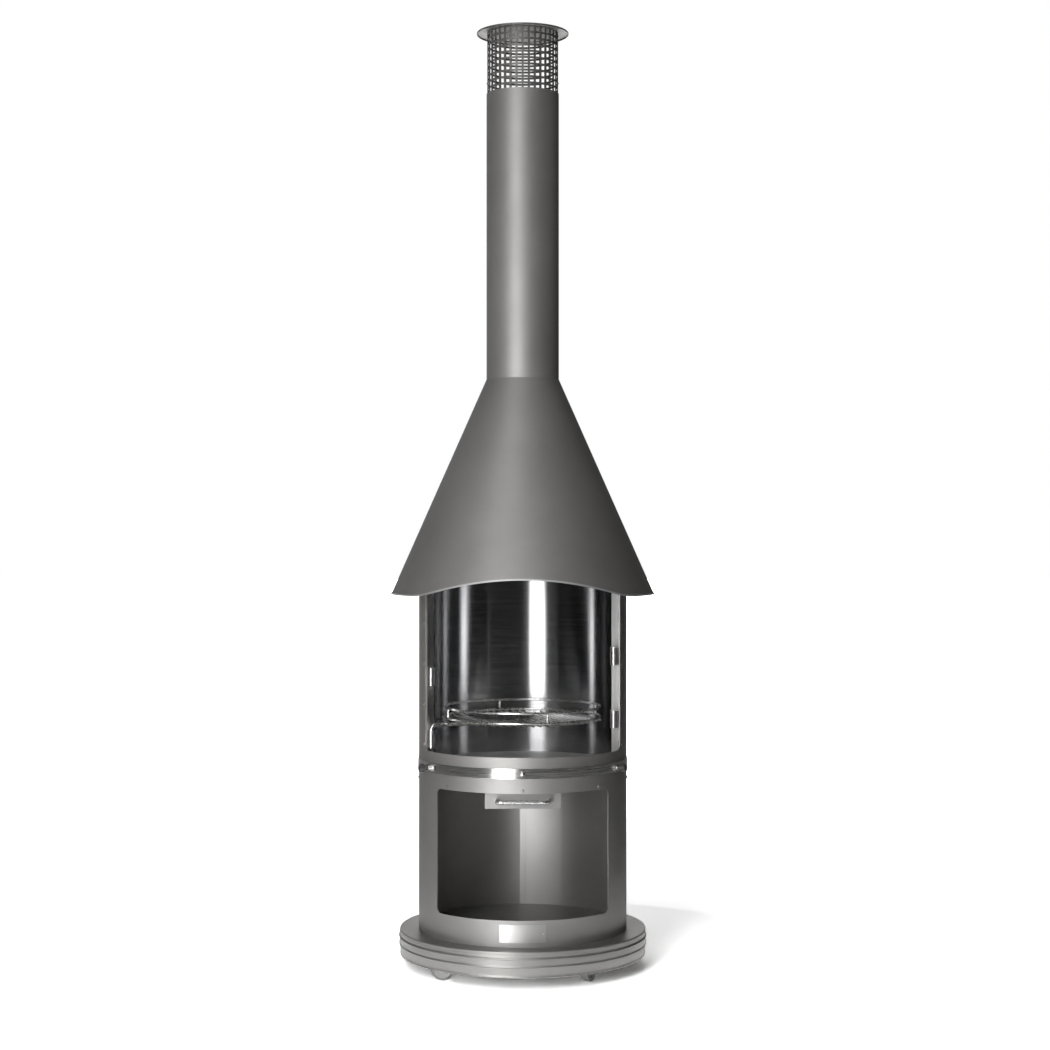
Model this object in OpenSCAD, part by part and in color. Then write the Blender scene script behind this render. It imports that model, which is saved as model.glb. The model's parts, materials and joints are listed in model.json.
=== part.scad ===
// Round garden fireplace on castors: wood store below, open firebox with a swing-out grill above,
// conical hood, flue pipe, perforated spark guard and flat rain cap.
// Millimetres, +Z up, the floor at z = 0 and the body's axis on the Z axis. The front faces -Y.

/* [Castors] */
// Height of a castor, from the floor to the top of its plate
castor_h = 69; // [66:1:80]
// Diameter of a castor wheel over its tyre
wheel_d = 50; // [44:1:54]
// Width of the tyre
wheel_w = 20; // [16:1:24]
// Thickness of the rubber tyre
tyre_t = 5; // [3:0.5:8]
// Distance from the swivel axis to the wheel's axle
castor_trail = 25; // [18:1:28]
// Diameter of the wheel's axle
axle_d = 8; // [6:0.5:10]
// Diameter of the kingpin
kingpin_d = 8; // [6:0.5:10]
// Sheet thickness of the fork and the castor plate
castor_t = 2.5; // [2:0.5:3]
// Side of the square castor plate
castor_plate_w = 60; // [56:1:64]
// Spacing of the four bolts in a castor plate
castor_bolt_pitch = 45; // [42:1:48]
// Diameter of the castor bolts
castor_bolt_d = 6; // [5:0.5:7]
// Diameter of the fork's round crown
crown_d = 36; // [32:1:40]
// Half the distance between the left and right castors
castor_x = 165; // [150:1:170]
// Half the distance between the front and rear castors
castor_y = 160; // [150:1:165]

/* [Base] */
// Diameter of the plinth at its widest bead
plinth_d = 596; // [590:2:640]
// Height of the plinth's side
plinth_h = 60; // [55:1:64]
// Sheet thickness of the plinth
plinth_t = 2; // [1.5:0.5:3]
// How far the plinth's beads stand out
plinth_bead = 2.4; // [1:0.2:4]
// Height of the cross rails under the plinth's top
rail_h = 20; // [15:1:25]
// Width of a cross rail
rail_w = 60; // [60:1:70]
// Length of a cross rail
rail_l = 430; // [400:5:440]
// Wall thickness of a cross rail
rail_t = 2; // [1.5:0.5:3]

/* [Body] */
// Outside diameter of the two round shells
shell_d = 500; // [490:2:520]
// Sheet thickness of the shells
shell_t = 2; // [1.5:0.5:3]
// Height of the lower shell
lower_h = 390; // [380:5:420]
// Height of the upper shell
upper_h = 555; // [550:1:556]
// Width of the flange that the lower shell stands on
foot_flange_w = 16; // [12:1:24]
// Thickness of the log floor and the divider plate
plate_t = 2; // [1.5:0.5:3]
// Width of the lap where the lower shell's sheet closes at the back
lap_w = 14; // [8:1:20]

/* [Wood store] */
// Height of the log opening's sill above the plinth
store_sill_h = 61.5; // [50:0.5:70]
// Height of the log opening
store_open_h = 290.5; // [280:0.5:295]
// Half the angle of the log opening
store_half_a = 53.1; // [45:0.1:58]
// Corner radius of the log opening
store_corner = 15; // [10:1:25]
// Height of the divider plate above the log opening
divider_rise = 1; // [1:0.5:4]
// Height of the divider plate's rim
divider_rim_h = 10; // [9:1:14]
// Number of screws that hold the divider plate
divider_screws_n = 8; // [4:1:12]
// Width of the bare plate under the log opening
nameplate_w = 106; // [90:1:120]
// Height of the bare plate
nameplate_h = 41; // [30:1:45]
// Thickness of the bare plate
nameplate_t = 1; // [0.8:0.1:1.5]
// Height of the bare plate's middle above the plinth
nameplate_rise = 31.7; // [26:0.1:34]

/* [Ash drawer] */
// Width of the drawer's front plate
drawer_front_w = 174.5; // [170:0.5:190]
// Height of the drawer's front plate
drawer_front_h = 39.5; // [36:0.5:50]
// Distance of the drawer's front from the body's axis
drawer_front_y = 200; // [195:1:210]
// Width of the drawer's tray
tray_w = 150; // [140:1:152]
// Length of the drawer's tray
tray_l = 273; // [265:1:290]
// Height of the drawer's tray
tray_h = 35.5; // [32:0.5:40]
// Sheet thickness of the drawer and its runners
drawer_t = 1.5; // [1:0.25:2]
// Width of the lips that hang the tray in its runners
tray_lip_w = 9; // [7:0.5:10]
// Distance between the two ends of the bow handle
handle_pitch = 120; // [100:1:130]
// Diameter of the handle's bar
handle_bar_d = 8.6; // [7:0.2:10]
// How far the handle stands out
handle_out = 35.3; // [30:0.5:45]
// Diameter of the screws that hold the handle, thin enough that their holes don't open the tray
handle_screw_d = 3; // [2.5:0.5:3.5]
// Radius of the handle's bends, at the middle of its bar
handle_bend = 11; // [9:0.5:16]

/* [Firebox] */
// Height of the firebox opening's sill above the joint of the shells
fire_sill_h = 44.5; // [40:0.5:55]
// Height of the firebox opening
fire_open_h = 459.5; // [440:0.5:465]
// Half the angle of the firebox opening
fire_half_a = 66.9; // [60:0.1:68]
// Corner radius of the firebox opening
fire_corner = 16; // [12:1:25]
// Depth of the return that stiffens the edge of the firebox opening
return_w = 5; // [4:0.5:6]
// Outside diameter of the stainless liner
liner_d = 456; // [450:1:460]
// Sheet thickness of the liner
liner_t = 1; // [0.8:0.1:1.5]
// Width of the liner's riveted lips
liner_lip_w = 20; // [18:1:24]
// Height of the fire bowl's rim above the joint of the shells
bowl_rim_h = 5; // [4:0.5:8]
// Radius at which the bowl starts to slope to its ash hole
bowl_slope_r = 185; // [170:1:200]
// Drop of the bowl from its rim to its ash hole
bowl_drop = 23; // [18:1:26]
// Radius of the ash hole
ash_hole_r = 43; // [38:1:46]
// Sheet thickness of the bowl
bowl_t = 2; // [1.5:0.5:2.5]
// Height of the inner ring that joins the two shells and carries the bowl
ring_h = 50; // [48:1:54]
// Width of the ledge inside that ring
ring_ledge_w = 12; // [8:1:20]
// Radius of the cast ash grate
ash_grate_r = 52; // [50:1:60]
// Thickness of the ash grate
ash_grate_t = 5; // [4:0.5:8]
// Width of a slot in the ash grate
ash_slot_w = 6; // [4:0.5:7]
// Number of slots in the ash grate
ash_slots_n = 7; // [5:2:7]

/* [Band] */
// Height of the stainless band over the joint of the shells
band_h = 23; // [20:1:28]
// Thickness of the band
band_t = 1.5; // [1:0.1:2]
// How far the band reaches below the joint
band_drop = 4; // [2:0.5:6]
// Diameter of the dark caps on the side bolts
side_cap_d = 20; // [16:0.5:24]
// Length of a side bolt's cap
side_cap_l = 13; // [10:0.5:16]
// Distance from the band to a side bolt's cap
side_neck_l = 15; // [12:0.5:20]
// Turn of the side bolts from the front
side_bolt_turn = 60; // [50:1:70]

/* [Grill] */
// Outside diameter of a grate socket
socket_d = 18; // [16:0.5:20]
// Bore of a grate socket
socket_bore_d = 10.6; // [10.6:0.1:12]
// Length of a grate socket
socket_l = 41; // [35:1:45]
// Distance of the sockets' axes from the body's axis
socket_r = 238; // [236:0.5:239]
// Height of the left lower socket above the joint of the shells
socket_left_low_h = 50; // [48:1:60]
// Height of the left upper socket
socket_left_high_h = 198; // [190:1:210]
// Height of the right lower socket
socket_right_low_h = 98; // [90:1:110]
// Height of the right upper socket
socket_right_high_h = 246.5; // [240:0.5:260]
// Diameter of the rod that carries the grill
arm_d = 10; // [9:0.2:10]
// Radius of the rod's bend, at the middle of the rod
arm_bend = 14; // [12:1:18]
// Outside radius of the grill's rings
grill_r = 188.5; // [180:0.5:189]
// Diameter of the ring wire and the posts
ring_wire_d = 6; // [5:0.5:7]
// Distance between the two rings
ring_gap = 24; // [20:1:30]
// Diameter of the grill's bars
bar_d = 5; // [4:0.5:6]
// Distance from bar to bar
bar_pitch = 16.5; // [14:0.5:25]
// Number of posts between the rings
posts_n = 4; // [3:1:8]

/* [Hood] */
// Diameter of the hood at its rim, over the hem
hood_d = 634.6; // [620:2:660]
// Height of the hood's rim above the joint of the shells
hood_rim_h = 411; // [400:1:415]
// Height of the cone
hood_cone_h = 516; // [480:2:540]
// Sheet thickness of the hood
hood_t = 1.5; // [1:0.25:2]
// How far the hem stands out of the cone
hem_out = 1.2; // [0.8:0.1:2]
// Width of the hem
hem_w = 4; // [3:0.5:6]
// Height of the arch in the hood's front
arch_rise = 41; // [30:1:50]
// Radius of the arch
arch_r = 697; // [650:1:800]
// Length over which the arch runs out into the rim
arch_blend = 4; // [2:0.5:8]
// Width of a hood bracket
bracket_w = 30; // [20:1:40]
// Sheet thickness of a hood bracket
bracket_t = 2; // [1.5:0.5:3]
// Number of hood brackets
brackets_n = 4; // [4:2:4]

/* [Chimney] */
// Outside diameter of the flue pipe
pipe_d = 174.4; // [160:1:190]
// Sheet thickness of the flue pipe
pipe_t = 1.5; // [1:0.25:2]
// Length of the flue pipe
pipe_l = 687; // [500:5:900]
// Height of the collar inside the pipe
collar_up = 40; // [30:1:60]
// Depth of the collar below the pipe
collar_down = 35; // [25:1:40]
// Sheet thickness of the collar and the spark guard
guard_t = 1.2; // [1:0.1:1.5]
// Height of the spark guard above the pipe
guard_h = 146; // [144:1:160]
// Depth of the spark guard inside the pipe
guard_insert = 35; // [20:1:60]
// Side of a square hole in the spark guard
mesh_hole = 10; // [8:0.5:11]
// Distance from row to row of the holes
mesh_pitch = 15; // [14:0.5:15]
// Number of holes round the spark guard
mesh_columns = 36; // [24:2:36]
// Number of rows of holes
mesh_rows = 10; // [6:1:10]
// Height of the lowest row's middle above the pipe
mesh_start = 4; // [2:0.5:6]
// Diameter of the rain cap
cap_d = 221; // [200:1:240]
// Sheet thickness of the rain cap
cap_t = 1.5; // [1:0.25:2]
// Depth of the rain cap's turned edge
cap_lip = 4; // [3:0.5:6]

/* [Fasteners] */
// Shank diameter of the sheet screws
screw_d = 4; // [3:0.5:4]
// Head diameter of the sheet screws
screw_head_d = 7.4; // [6:0.2:8]
// Head height of the screws
screw_head_h = 2.4; // [2:0.1:3]
// Shank diameter of the side bolts and the foot screws
bolt_d = 6; // [5:0.5:6]
// Head diameter of the side bolts and the foot screws
bolt_head_d = 11; // [10:0.5:12]
// Head height of the side bolts and the foot screws
bolt_head_h = 3; // [2:0.5:4]
// Shank diameter of the rivets
rivet_d = 3; // [2.4:0.2:3.2]
// Head diameter of the rivets
rivet_head_d = 5.6; // [4.5:0.1:6]
// Head height of the rivets
rivet_head_h = 1.4; // [1:0.1:2]

/* [Clearances] */
// Gap between sheets that lie against each other
seat_gap = 0.3; // [0.2:0.05:0.4]
// Radial clearance of a fastener in its hole
hole_gap = 0.2; // [0.15:0.05:0.3]
// Radial clearance of a pin that turns in its bore
run_gap = 0.05; // [0.03:0.01:0.08]
// Gap at a weld between two rods or tubes
weld_gap = 0.2; // [0.1:0.05:0.25]

/* [Hidden] */
$fn = 96;
over = 5;
seam_a = 67;
// The corners of the windows stand this much nearer to the sides, so that they cut clean through the sheet.
corner_share = 0.97;

shell_r = shell_d / 2;
shell_in = shell_r - shell_t;
plinth_r = plinth_d / 2;
liner_r = liner_d / 2;
pipe_r = pipe_d / 2;
pipe_in = pipe_r - pipe_t;

plinth_top = castor_h + rail_h + plinth_t;
plinth_bottom = plinth_top - plinth_h;
joint_z = plinth_top + lower_h;
store_z = plinth_top + store_sill_h;
fire_z = joint_z + fire_sill_h;
divider_z = store_z + store_open_h + divider_rise;
divider_screw_z = divider_z + divider_rim_h / 2 + plate_t / 2;
shell_top = joint_z + upper_h;
band_z = joint_z - band_drop;
band_screw_z = band_z + band_h / 2;

// What a round arc of the given length measures in degrees at a radius.
function arc_deg(arc, r) = arc / r * 180 / PI;

// Heights and outward shares of the plinth's side, from its top edge down to its foot.
plinth_side_shares = [
    [1.000, -0.60], [0.985, -0.20], [0.965, -0.05], [0.935, 0.00],
    [0.905, -0.02], [0.900, -0.14], [0.893, -0.14], [0.888, 0.00],
    [0.800, 0.08], [0.770, 0.34], [0.745, 0.78], [0.720, 1.00], [0.700, 0.94], [0.686, 0.55],
    [0.678, 0.28], [0.668, 0.30],
    [0.490, 0.26], [0.460, 0.42], [0.435, 0.74], [0.412, 0.86], [0.396, 0.76], [0.386, 0.35],
    [0.378, -0.10], [0.366, -0.12],
    [0.110, -0.40], [0.070, -0.28], [0.040, -0.10], [0.015, -0.12], [0.000, -0.40]
];
plinth_face_r = plinth_r - plinth_bead;

fork_gap = 1.3;
crown_gap = seat_gap;
crown_z = castor_h - castor_t - crown_gap;
crown_h = 10.2;
race_share = 0.84;
pin_head_d = 14;
pin_head_h = 2;
boss_d = 18;
axle_head_d = 12;
axle_head_h = 3;
bolt_nut_d = 11;
bolt_nut_h = 4;
fork_in = wheel_w / 2 + fork_gap;
fork_out = fork_in + castor_t;
wheel_z = wheel_d / 2;
hub_r = wheel_d / 2 - tyre_t;
// Name, left or right, front or rear, and the way the wheel trails at rest.
castors = [
    ["front_left", -1, -1, 200], ["front_right", 1, -1, 240],
    ["rear_left", -1, 1, 115], ["rear_right", 1, 1, 320]
];

foot_screws_n = 6;
foot_screw_r = shell_in - foot_flange_w / 2;
store_floor_r = shell_in - shell_t - seat_gap;
store_floor_z = plinth_top + shell_t + 2 * plate_t;
divider_hole_gap = 1;
neck_r = ash_hole_r + bowl_t;
neck_drop = 1;

drawer_top_gap = 2.5;
drawer_foot = 1;
drawer_front_z = divider_z - drawer_top_gap - drawer_front_h;
tray_bottom = drawer_front_z + drawer_foot;
tray_top = tray_bottom + tray_h;
tray_back_y = tray_l - drawer_front_y + drawer_t;
runner_side_gap = 1;
runner_flange_w = 14;
runner_front_gap = 4;
handle_z = drawer_front_z + drawer_front_h / 2 - drawer_foot;
handle_bar_r = handle_bar_d / 2;
handle_bore_l = 14;

bowl_rim_z = joint_z + bowl_rim_h;
joint_ring_r = shell_in - seat_gap;
joint_ring_down = 19;
joint_ring_z = joint_z - joint_ring_down;
joint_ring_top = joint_ring_z + ring_h;
bowl_r = joint_ring_r - bowl_t - seat_gap;
side_washer_d = 18;
side_washer_t = 1.6;
side_nut_d = 13;
side_nut_h = 6;
liner_short = 6;
liner_top = shell_top - liner_short;
return_t = 1.5;
flange_a = fire_half_a + arc_deg(return_t + seat_gap, shell_in - return_w);
flange_root_r = bowl_r;
lip_rise = 1.7;
lip_z = joint_ring_top + seat_gap + lip_rise;
rivet_inset = 10;
rivet_a = fire_half_a + arc_deg(rivet_inset, shell_r);
rivet_rows = 5;
rivet_pitch = 95;
rivet_start = 59;

// Turn of the sockets from the front, so that each tube touches the liner's flange.
socket_a = flange_a - asin((socket_d / 2 + weld_gap) / socket_r);
pivot = [-socket_r * sin(socket_a), -socket_r * cos(socket_a)];
grill_y = -30;
arm_angle = atan2(grill_y - pivot[1], -pivot[0]);
arm_reach = norm([pivot[0], grill_y - pivot[1]]);
arm_past = 20;
arm_z = joint_z + socket_left_low_h + socket_l + arm_bend;
bars_z = arm_z + arm_d / 2 + weld_gap + bar_d / 2;
ring_z = bars_z + bar_d / 2 + weld_gap + ring_wire_d / 2;
ring_r = grill_r - ring_wire_d / 2;
arm_foot_gap = 2;

hood_rim_z = joint_z + hood_rim_h;
hood_top = hood_rim_z + hood_cone_h;
hood_r = hood_d / 2 - hem_out;
cone_slope = (hood_r - pipe_r) / hood_cone_h;
cone_wall = hood_t * norm([1, cone_slope]);
// Outside radius of the hood's cone at a height.
function cone_r(z) = hood_r - cone_slope * (z - hood_rim_z);
arch_steps = 44;
arch_half_share = 0.86;
arch_half = hood_r * arch_half_share;
arch_dip = 0.3;
// Lower edge of the hood at a distance x from the middle: the arch, run out smoothly into the rim.
function arch_over_rim(x) = arch_rise - arch_r + sqrt(arch_r * arch_r - x * x);
function arch_z(x) = hood_rim_z - arch_dip + arch_blend * ln(1 + exp(arch_over_rim(x) / arch_blend));

bracket_low = 34;
bracket_high = 41;
bracket_screw_z = shell_top - bracket_low / 2;
cap_z = hood_top + pipe_l + guard_h;
guard_r = pipe_in - hole_gap;
guard_rivet_row = 1.5;

// A straight tube standing on z, with its seam at the back, clear of every hole.
module tube(r_out, r_in, z, h) {
    rotate([0, 0, seam_a]) translate([0, 0, z]) difference() {
        cylinder(r = r_out, h = h);
        translate([0, 0, -over]) cylinder(r = r_in, h = h + 2 * over);
    }
}

// Turns a profile drawn in radius and height through an angle, with its middle at a turn from the front.
module sector(turn, half_a) {
    rotate([0, 0, turn - half_a - 90]) rotate_extrude(angle = 2 * half_a) children();
}

// Puts a child that stands on +Z at a radius, pointing outwards, at a turn from the front.
module radial(turn, r, z) {
    rotate([0, 0, turn - 90]) translate([r, 0, z]) rotate([0, 90, 0]) children();
}

// A fastener: domed head above z = 0 and shank below it.
module fastener(head_d, head_h, shank_d, shank_l) {
    rotate_extrude() polygon([
        [0, head_h], [head_d * 0.27, head_h * 0.94], [head_d * 0.42, head_h * 0.7],
        [head_d / 2, head_h * 0.2], [head_d / 2, 0], [shank_d / 2, 0],
        [shank_d / 2, -shank_l], [0, -shank_l]
    ]);
}

// A hole for a fastener, from above its head to below its end.
module hole(shank_d, length) {
    translate([0, 0, -length]) cylinder(d = shank_d + 2 * hole_gap, h = length + over);
}

// The cutter of a window with rounded corners through a shell. The corners' cylinders
// stand out past the rest on both sides, so that no face only touches another.
module window_cut(z, h, half_a, corner) {
    corner_a = asin(corner / shell_r) * corner_share;
    r_low = shell_in - 2 * over;
    depth = shell_t + 3 * over;
    sector(0, half_a) translate([r_low, z + corner]) square([depth, h - 2 * corner]);
    sector(0, half_a - corner_a) translate([r_low, z]) square([depth, h]);
    for (side = [-1, 1], level = [z + corner, z + h - corner])
        radial(side * (half_a - corner_a), r_low - over, level)
            cylinder(r = corner, h = depth + 2 * over);
}

// The rough frame that a window's cutter trims to a turned-in edge.
module window_return(z, h, half_a, corner) {
    corner_a = asin(corner / shell_r) * corner_share;
    r_low = shell_r - return_w;
    depth = return_w - shell_t / 2;
    for (side = [-1, 1]) sector(side * half_a, arc_deg(return_t, shell_in))
        translate([r_low, z + corner]) square([depth, h - 2 * corner]);
    for (level = [z, z + h]) sector(0, half_a - corner_a)
        translate([r_low, level - return_t]) square([depth, 2 * return_t]);
    for (side = [-1, 1], level = [z + corner, z + h - corner])
        radial(side * (half_a - corner_a), r_low, level) cylinder(r = corner + return_t * 0.9, h = depth);
}

// Base

module base_plinth() {
    side = [for (p = plinth_side_shares)
        [plinth_face_r + p[1] * plinth_bead, plinth_bottom + p[0] * plinth_h]];
    low = plinth_top - plinth_t;
    inner = [for (i = [len(side) - 1:-1:0]) if (side[i][1] < low) side[i] - [plinth_t, 0]];
    color("slategray") difference() {
        rotate_extrude() polygon(concat(
            [[0, plinth_top]], side, inner, [[plinth_face_r - plinth_t, low], [0, low]]
        ));
        foot_screw_places() translate([0, 0, low - over])
            cylinder(d = bolt_d + 2 * hole_gap, h = plinth_t + 2 * over);
    }
}

module foot_screw_places() {
    for (i = [0:foot_screws_n - 1]) rotate([0, 0, i * 360 / foot_screws_n])
        translate([foot_screw_r, 0, 0]) children();
}

module cross_rails() {
    color("dimgray") for (side = [-1, 1]) difference() {
        translate([-rail_l / 2, side * castor_y - rail_w / 2, castor_h]) cube([rail_l, rail_w, rail_h]);
        translate([-rail_l / 2 - over, side * castor_y - rail_w / 2 + rail_t, castor_h + rail_t])
            cube([rail_l + 2 * over, rail_w - 2 * rail_t, rail_h - 2 * rail_t]);
        for (c = castors) if (c[2] == side) at_castor(c) castor_bolt_places()
            translate([0, 0, castor_h - over])
                cylinder(d = castor_bolt_d + 2 * hole_gap, h = rail_t + 2 * over);
    }
}

// Castors

module at_castor(c) {
    translate([c[1] * castor_x, c[2] * castor_y, 0]) children();
}

module castor_bolt_places() {
    for (x = [-1, 1], y = [-1, 1])
        translate([x * castor_bolt_pitch / 2, y * castor_bolt_pitch / 2, 0]) children();
}

module castor_plates() {
    bore_r = kingpin_d / 2 + hole_gap;
    color("silver") for (c = castors) at_castor(c) difference() {
        translate([-castor_plate_w / 2, -castor_plate_w / 2, castor_h - castor_t])
            cube([castor_plate_w, castor_plate_w, castor_t]);
        translate([0, 0, castor_h - castor_t - over]) cylinder(r = bore_r, h = castor_t + 2 * over);
        translate([0, 0, castor_h - castor_t])
            cylinder(r1 = bore_r, r2 = bore_r + castor_t + over, h = castor_t + over);
        castor_bolt_places() translate([0, 0, castor_h - castor_t - over])
            cylinder(d = castor_bolt_d + 2 * hole_gap, h = castor_t + 2 * over);
    }
}

module castor_bolts() {
    low = castor_h - castor_t;
    nut_z = castor_h + rail_t;
    color("gainsboro") for (c = castors) at_castor(c) castor_bolt_places() {
        translate([0, 0, low - bolt_nut_h]) cylinder(d = bolt_nut_d, h = bolt_nut_h, $fn = 6);
        translate([0, 0, low - bolt_nut_h / 2])
            cylinder(d = castor_bolt_d, h = castor_t + rail_t + bolt_nut_h * 2);
        translate([0, 0, nut_z]) difference() {
            cylinder(d = bolt_nut_d, h = bolt_nut_h, $fn = 6);
            translate([0, 0, -over]) cylinder(d = castor_bolt_d + 2 * run_gap, h = bolt_nut_h + 2 * over);
        }
    }
}

module kingpins() {
    pin_r = kingpin_d / 2;
    head_top = crown_z - crown_h - weld_gap;
    color("gainsboro") for (c = castors) at_castor(c) rotate_extrude() polygon([
        [0, castor_h], [pin_r + castor_t, castor_h], [pin_r, castor_h - castor_t],
        [pin_r, head_top], [pin_head_d / 2, head_top], [pin_head_d / 2, head_top - pin_head_h / 2],
        [pin_r, head_top - pin_head_h], [0, head_top - pin_head_h]
    ]);
}

// Turns a child from the castor's own frame, where the wheel trails along +X, to its place.
module castor_frame(c) {
    at_castor(c) rotate([0, 0, c[3]]) children();
}

// One cheek of a fork, drawn in its own plane: from the crown down to the axle's boss.
module fork_cheek() {
    crown_half = sqrt(pow(crown_d / 2, 2) - pow(fork_out, 2)) * 0.92;
    low = crown_z - crown_h;
    difference() {
        union() {
            polygon([
                [-crown_half, low + castor_t], [crown_half, low + castor_t],
                [crown_half + castor_t, low], [castor_trail + boss_d / 2, wheel_z],
                [castor_trail - boss_d / 2, wheel_z], [-crown_half, low - castor_t]
            ]);
            translate([castor_trail, wheel_z]) circle(d = boss_d);
        }
        translate([castor_trail, wheel_z]) circle(r = axle_d / 2 + run_gap);
    }
}

module castor_fork(c) {
    low = crown_z - crown_h;
    race_d = crown_d * race_share;
    color("lightgray") castor_frame(c) difference() {
        union() {
            translate([0, 0, low]) cylinder(d = crown_d, h = castor_t);
            translate([0, 0, low + castor_t / 2])
                cylinder(d1 = race_d, d2 = race_d - castor_t, h = crown_h - castor_t / 2);
            for (side = [-1, 1]) translate([0, side * (fork_in + castor_t / 2) + castor_t / 2, 0])
                rotate([90, 0, 0]) linear_extrude(height = castor_t) fork_cheek();
        }
        translate([0, 0, low - over]) cylinder(r = kingpin_d / 2 + run_gap, h = crown_h + 2 * over);
    }
}

module castor_axle(c) {
    half = fork_out + weld_gap;
    color("gainsboro") castor_frame(c) translate([castor_trail, 0, wheel_z]) rotate([-90, 0, 0])
        rotate_extrude() polygon([
            [0, -half - axle_head_h], [axle_head_d / 2 - axle_head_h / 3, -half - axle_head_h],
            [axle_head_d / 2, -half - axle_head_h / 2], [axle_head_d / 2, -half], [axle_d / 2, -half],
            [axle_d / 2, half], [axle_head_d / 2, half], [axle_head_d / 2, half + axle_head_h / 2],
            [axle_head_d / 2 - axle_head_h / 3, half + axle_head_h], [0, half + axle_head_h]
        ]);
}

module castor_hub(c) {
    half = wheel_w / 2;
    web = half * 0.4;
    boss = axle_d / 2 + tyre_t;
    bore = axle_d / 2 + run_gap;
    color("whitesmoke") castor_frame(c) translate([castor_trail, 0, wheel_z]) rotate([-90, 0, 0])
        rotate_extrude() polygon([
            [bore, -half - fork_gap / 2], [boss, -half - fork_gap / 2], [boss, -web],
            [hub_r - tyre_t / 2, -web], [hub_r - tyre_t / 2, -half], [hub_r, -half],
            [hub_r, half], [hub_r - tyre_t / 2, half], [hub_r - tyre_t / 2, web],
            [boss, web], [boss, half + fork_gap / 2], [bore, half + fork_gap / 2]
        ]);
}

module castor_tyre(c) {
    half = wheel_w / 2;
    edge = tyre_t * 0.5;
    r = wheel_d / 2;
    inner = hub_r + weld_gap / 2;
    color("silver") castor_frame(c) translate([castor_trail, 0, wheel_z]) rotate([-90, 0, 0])
        rotate_extrude() polygon([
            [inner, -half], [r - edge, -half], [r - edge * 0.3, -half + edge * 0.3], [r, -half + edge],
            [r, half - edge], [r - edge * 0.3, half - edge * 0.3], [r - edge, half], [inner, half]
        ]);
}

// Lower body

module foot_screws() {
    color("gainsboro") foot_screw_places() translate([0, 0, plinth_top - plinth_t]) mirror([0, 0, 1])
        fastener(bolt_head_d, bolt_head_h, bolt_d, plinth_t + shell_t + plate_t / 2);
}

// A round plate with a rim turned up by a rise, or down by a negative one.
module rimmed_plate(r, t, z, rise) {
    face = rise > 0 ? z + t : z;
    rotate([0, 0, seam_a]) rotate_extrude() polygon([
        [0, rise > 0 ? z : z + t], [r, rise > 0 ? z : z + t], [r, face + rise],
        [r - t, face + rise], [r - t, face], [0, face]
    ]);
}

module log_floor() {
    color("dimgray") rimmed_plate(store_floor_r, plate_t, store_floor_z - plate_t, -plate_t);
}

module lower_shell() {
    lap_z = store_floor_z + seat_gap;
    color("slategray") difference() {
        union() {
            tube(shell_r, shell_in, plinth_top, lower_h);
            tube(shell_in + shell_t / 2, shell_in - foot_flange_w, plinth_top, shell_t);
            sector(180, arc_deg(lap_w, shell_in) / 2) translate([shell_in - shell_t, lap_z])
                square([shell_t * 1.5, divider_z - seat_gap - lap_z]);
        }
        window_cut(store_z, store_open_h, store_half_a, store_corner);
        foot_screw_places() translate([0, 0, plinth_top - over])
            cylinder(d = bolt_d + 2 * hole_gap, h = shell_t + 2 * over);
        divider_screw_places() hole(screw_d, shell_t + over);
        nameplate_rivet_places() hole(rivet_d, shell_t + over);
    }
}

module nameplate() {
    inner = shell_r + seat_gap;
    low = plinth_top + nameplate_rise - nameplate_h / 2;
    color("silver") difference() {
        intersection() {
            tube(inner + nameplate_t, inner, low, nameplate_h);
            translate([-nameplate_w / 2, -shell_d, low]) cube([nameplate_w, shell_d, nameplate_h]);
        }
        nameplate_rivet_places() hole(rivet_d, shell_t + over);
    }
}

module nameplate_rivet_places() {
    turn = arc_deg(nameplate_w / 2 - rivet_head_d, shell_r);
    for (side = [-1, 1])
        radial(side * turn, shell_r + seat_gap + nameplate_t, plinth_top + nameplate_rise) children();
}

module nameplate_rivets() {
    color("dimgray") nameplate_rivet_places() translate([0, 0, weld_gap / 2])
        fastener(
            rivet_head_d * 0.6, rivet_head_h * 0.6, rivet_d, nameplate_t + seat_gap + shell_t + weld_gap
        );
}

module divider_plate() {
    r = shell_in - seat_gap;
    color("dimgray") difference() {
        rimmed_plate(r, plate_t, divider_z, divider_rim_h);
        translate([0, 0, divider_z - over]) cylinder(r = neck_r + divider_hole_gap, h = plate_t + 2 * over);
        divider_screw_places() hole(screw_d, 2 * over);
    }
}

module divider_screw_places() {
    for (i = [0:divider_screws_n - 1])
        radial(i * 360 / divider_screws_n, shell_r, divider_screw_z) children();
}

module divider_screws() {
    color("gainsboro") divider_screw_places() translate([0, 0, weld_gap / 2])
        fastener(screw_head_d, screw_head_h, screw_d, shell_t + seat_gap + 2 * plate_t);
}

// Ash drawer

module drawer_runner(side) {
    lip_out = tray_w / 2 + tray_lip_w + runner_side_gap;
    low = tray_top - drawer_t - seat_gap - drawer_t;
    length = tray_back_y + drawer_front_y - drawer_t - runner_front_gap;
    color("lightgray") translate([0, tray_back_y, 0]) rotate([90, 0, 0]) linear_extrude(height = length)
        polygon([for (p = [
            [tray_w / 2 + runner_side_gap, low], [lip_out + drawer_t, low],
            [lip_out + drawer_t, divider_z - drawer_t], [lip_out + runner_flange_w, divider_z - drawer_t],
            [lip_out + runner_flange_w, divider_z], [lip_out, divider_z],
            [lip_out, low + drawer_t], [tray_w / 2 + runner_side_gap, low + drawer_t]
        ]) [side * p[0], p[1]]]);
}

module drawer_runner_left() {
    drawer_runner(-1);
}

module drawer_runner_right() {
    drawer_runner(1);
}

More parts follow.
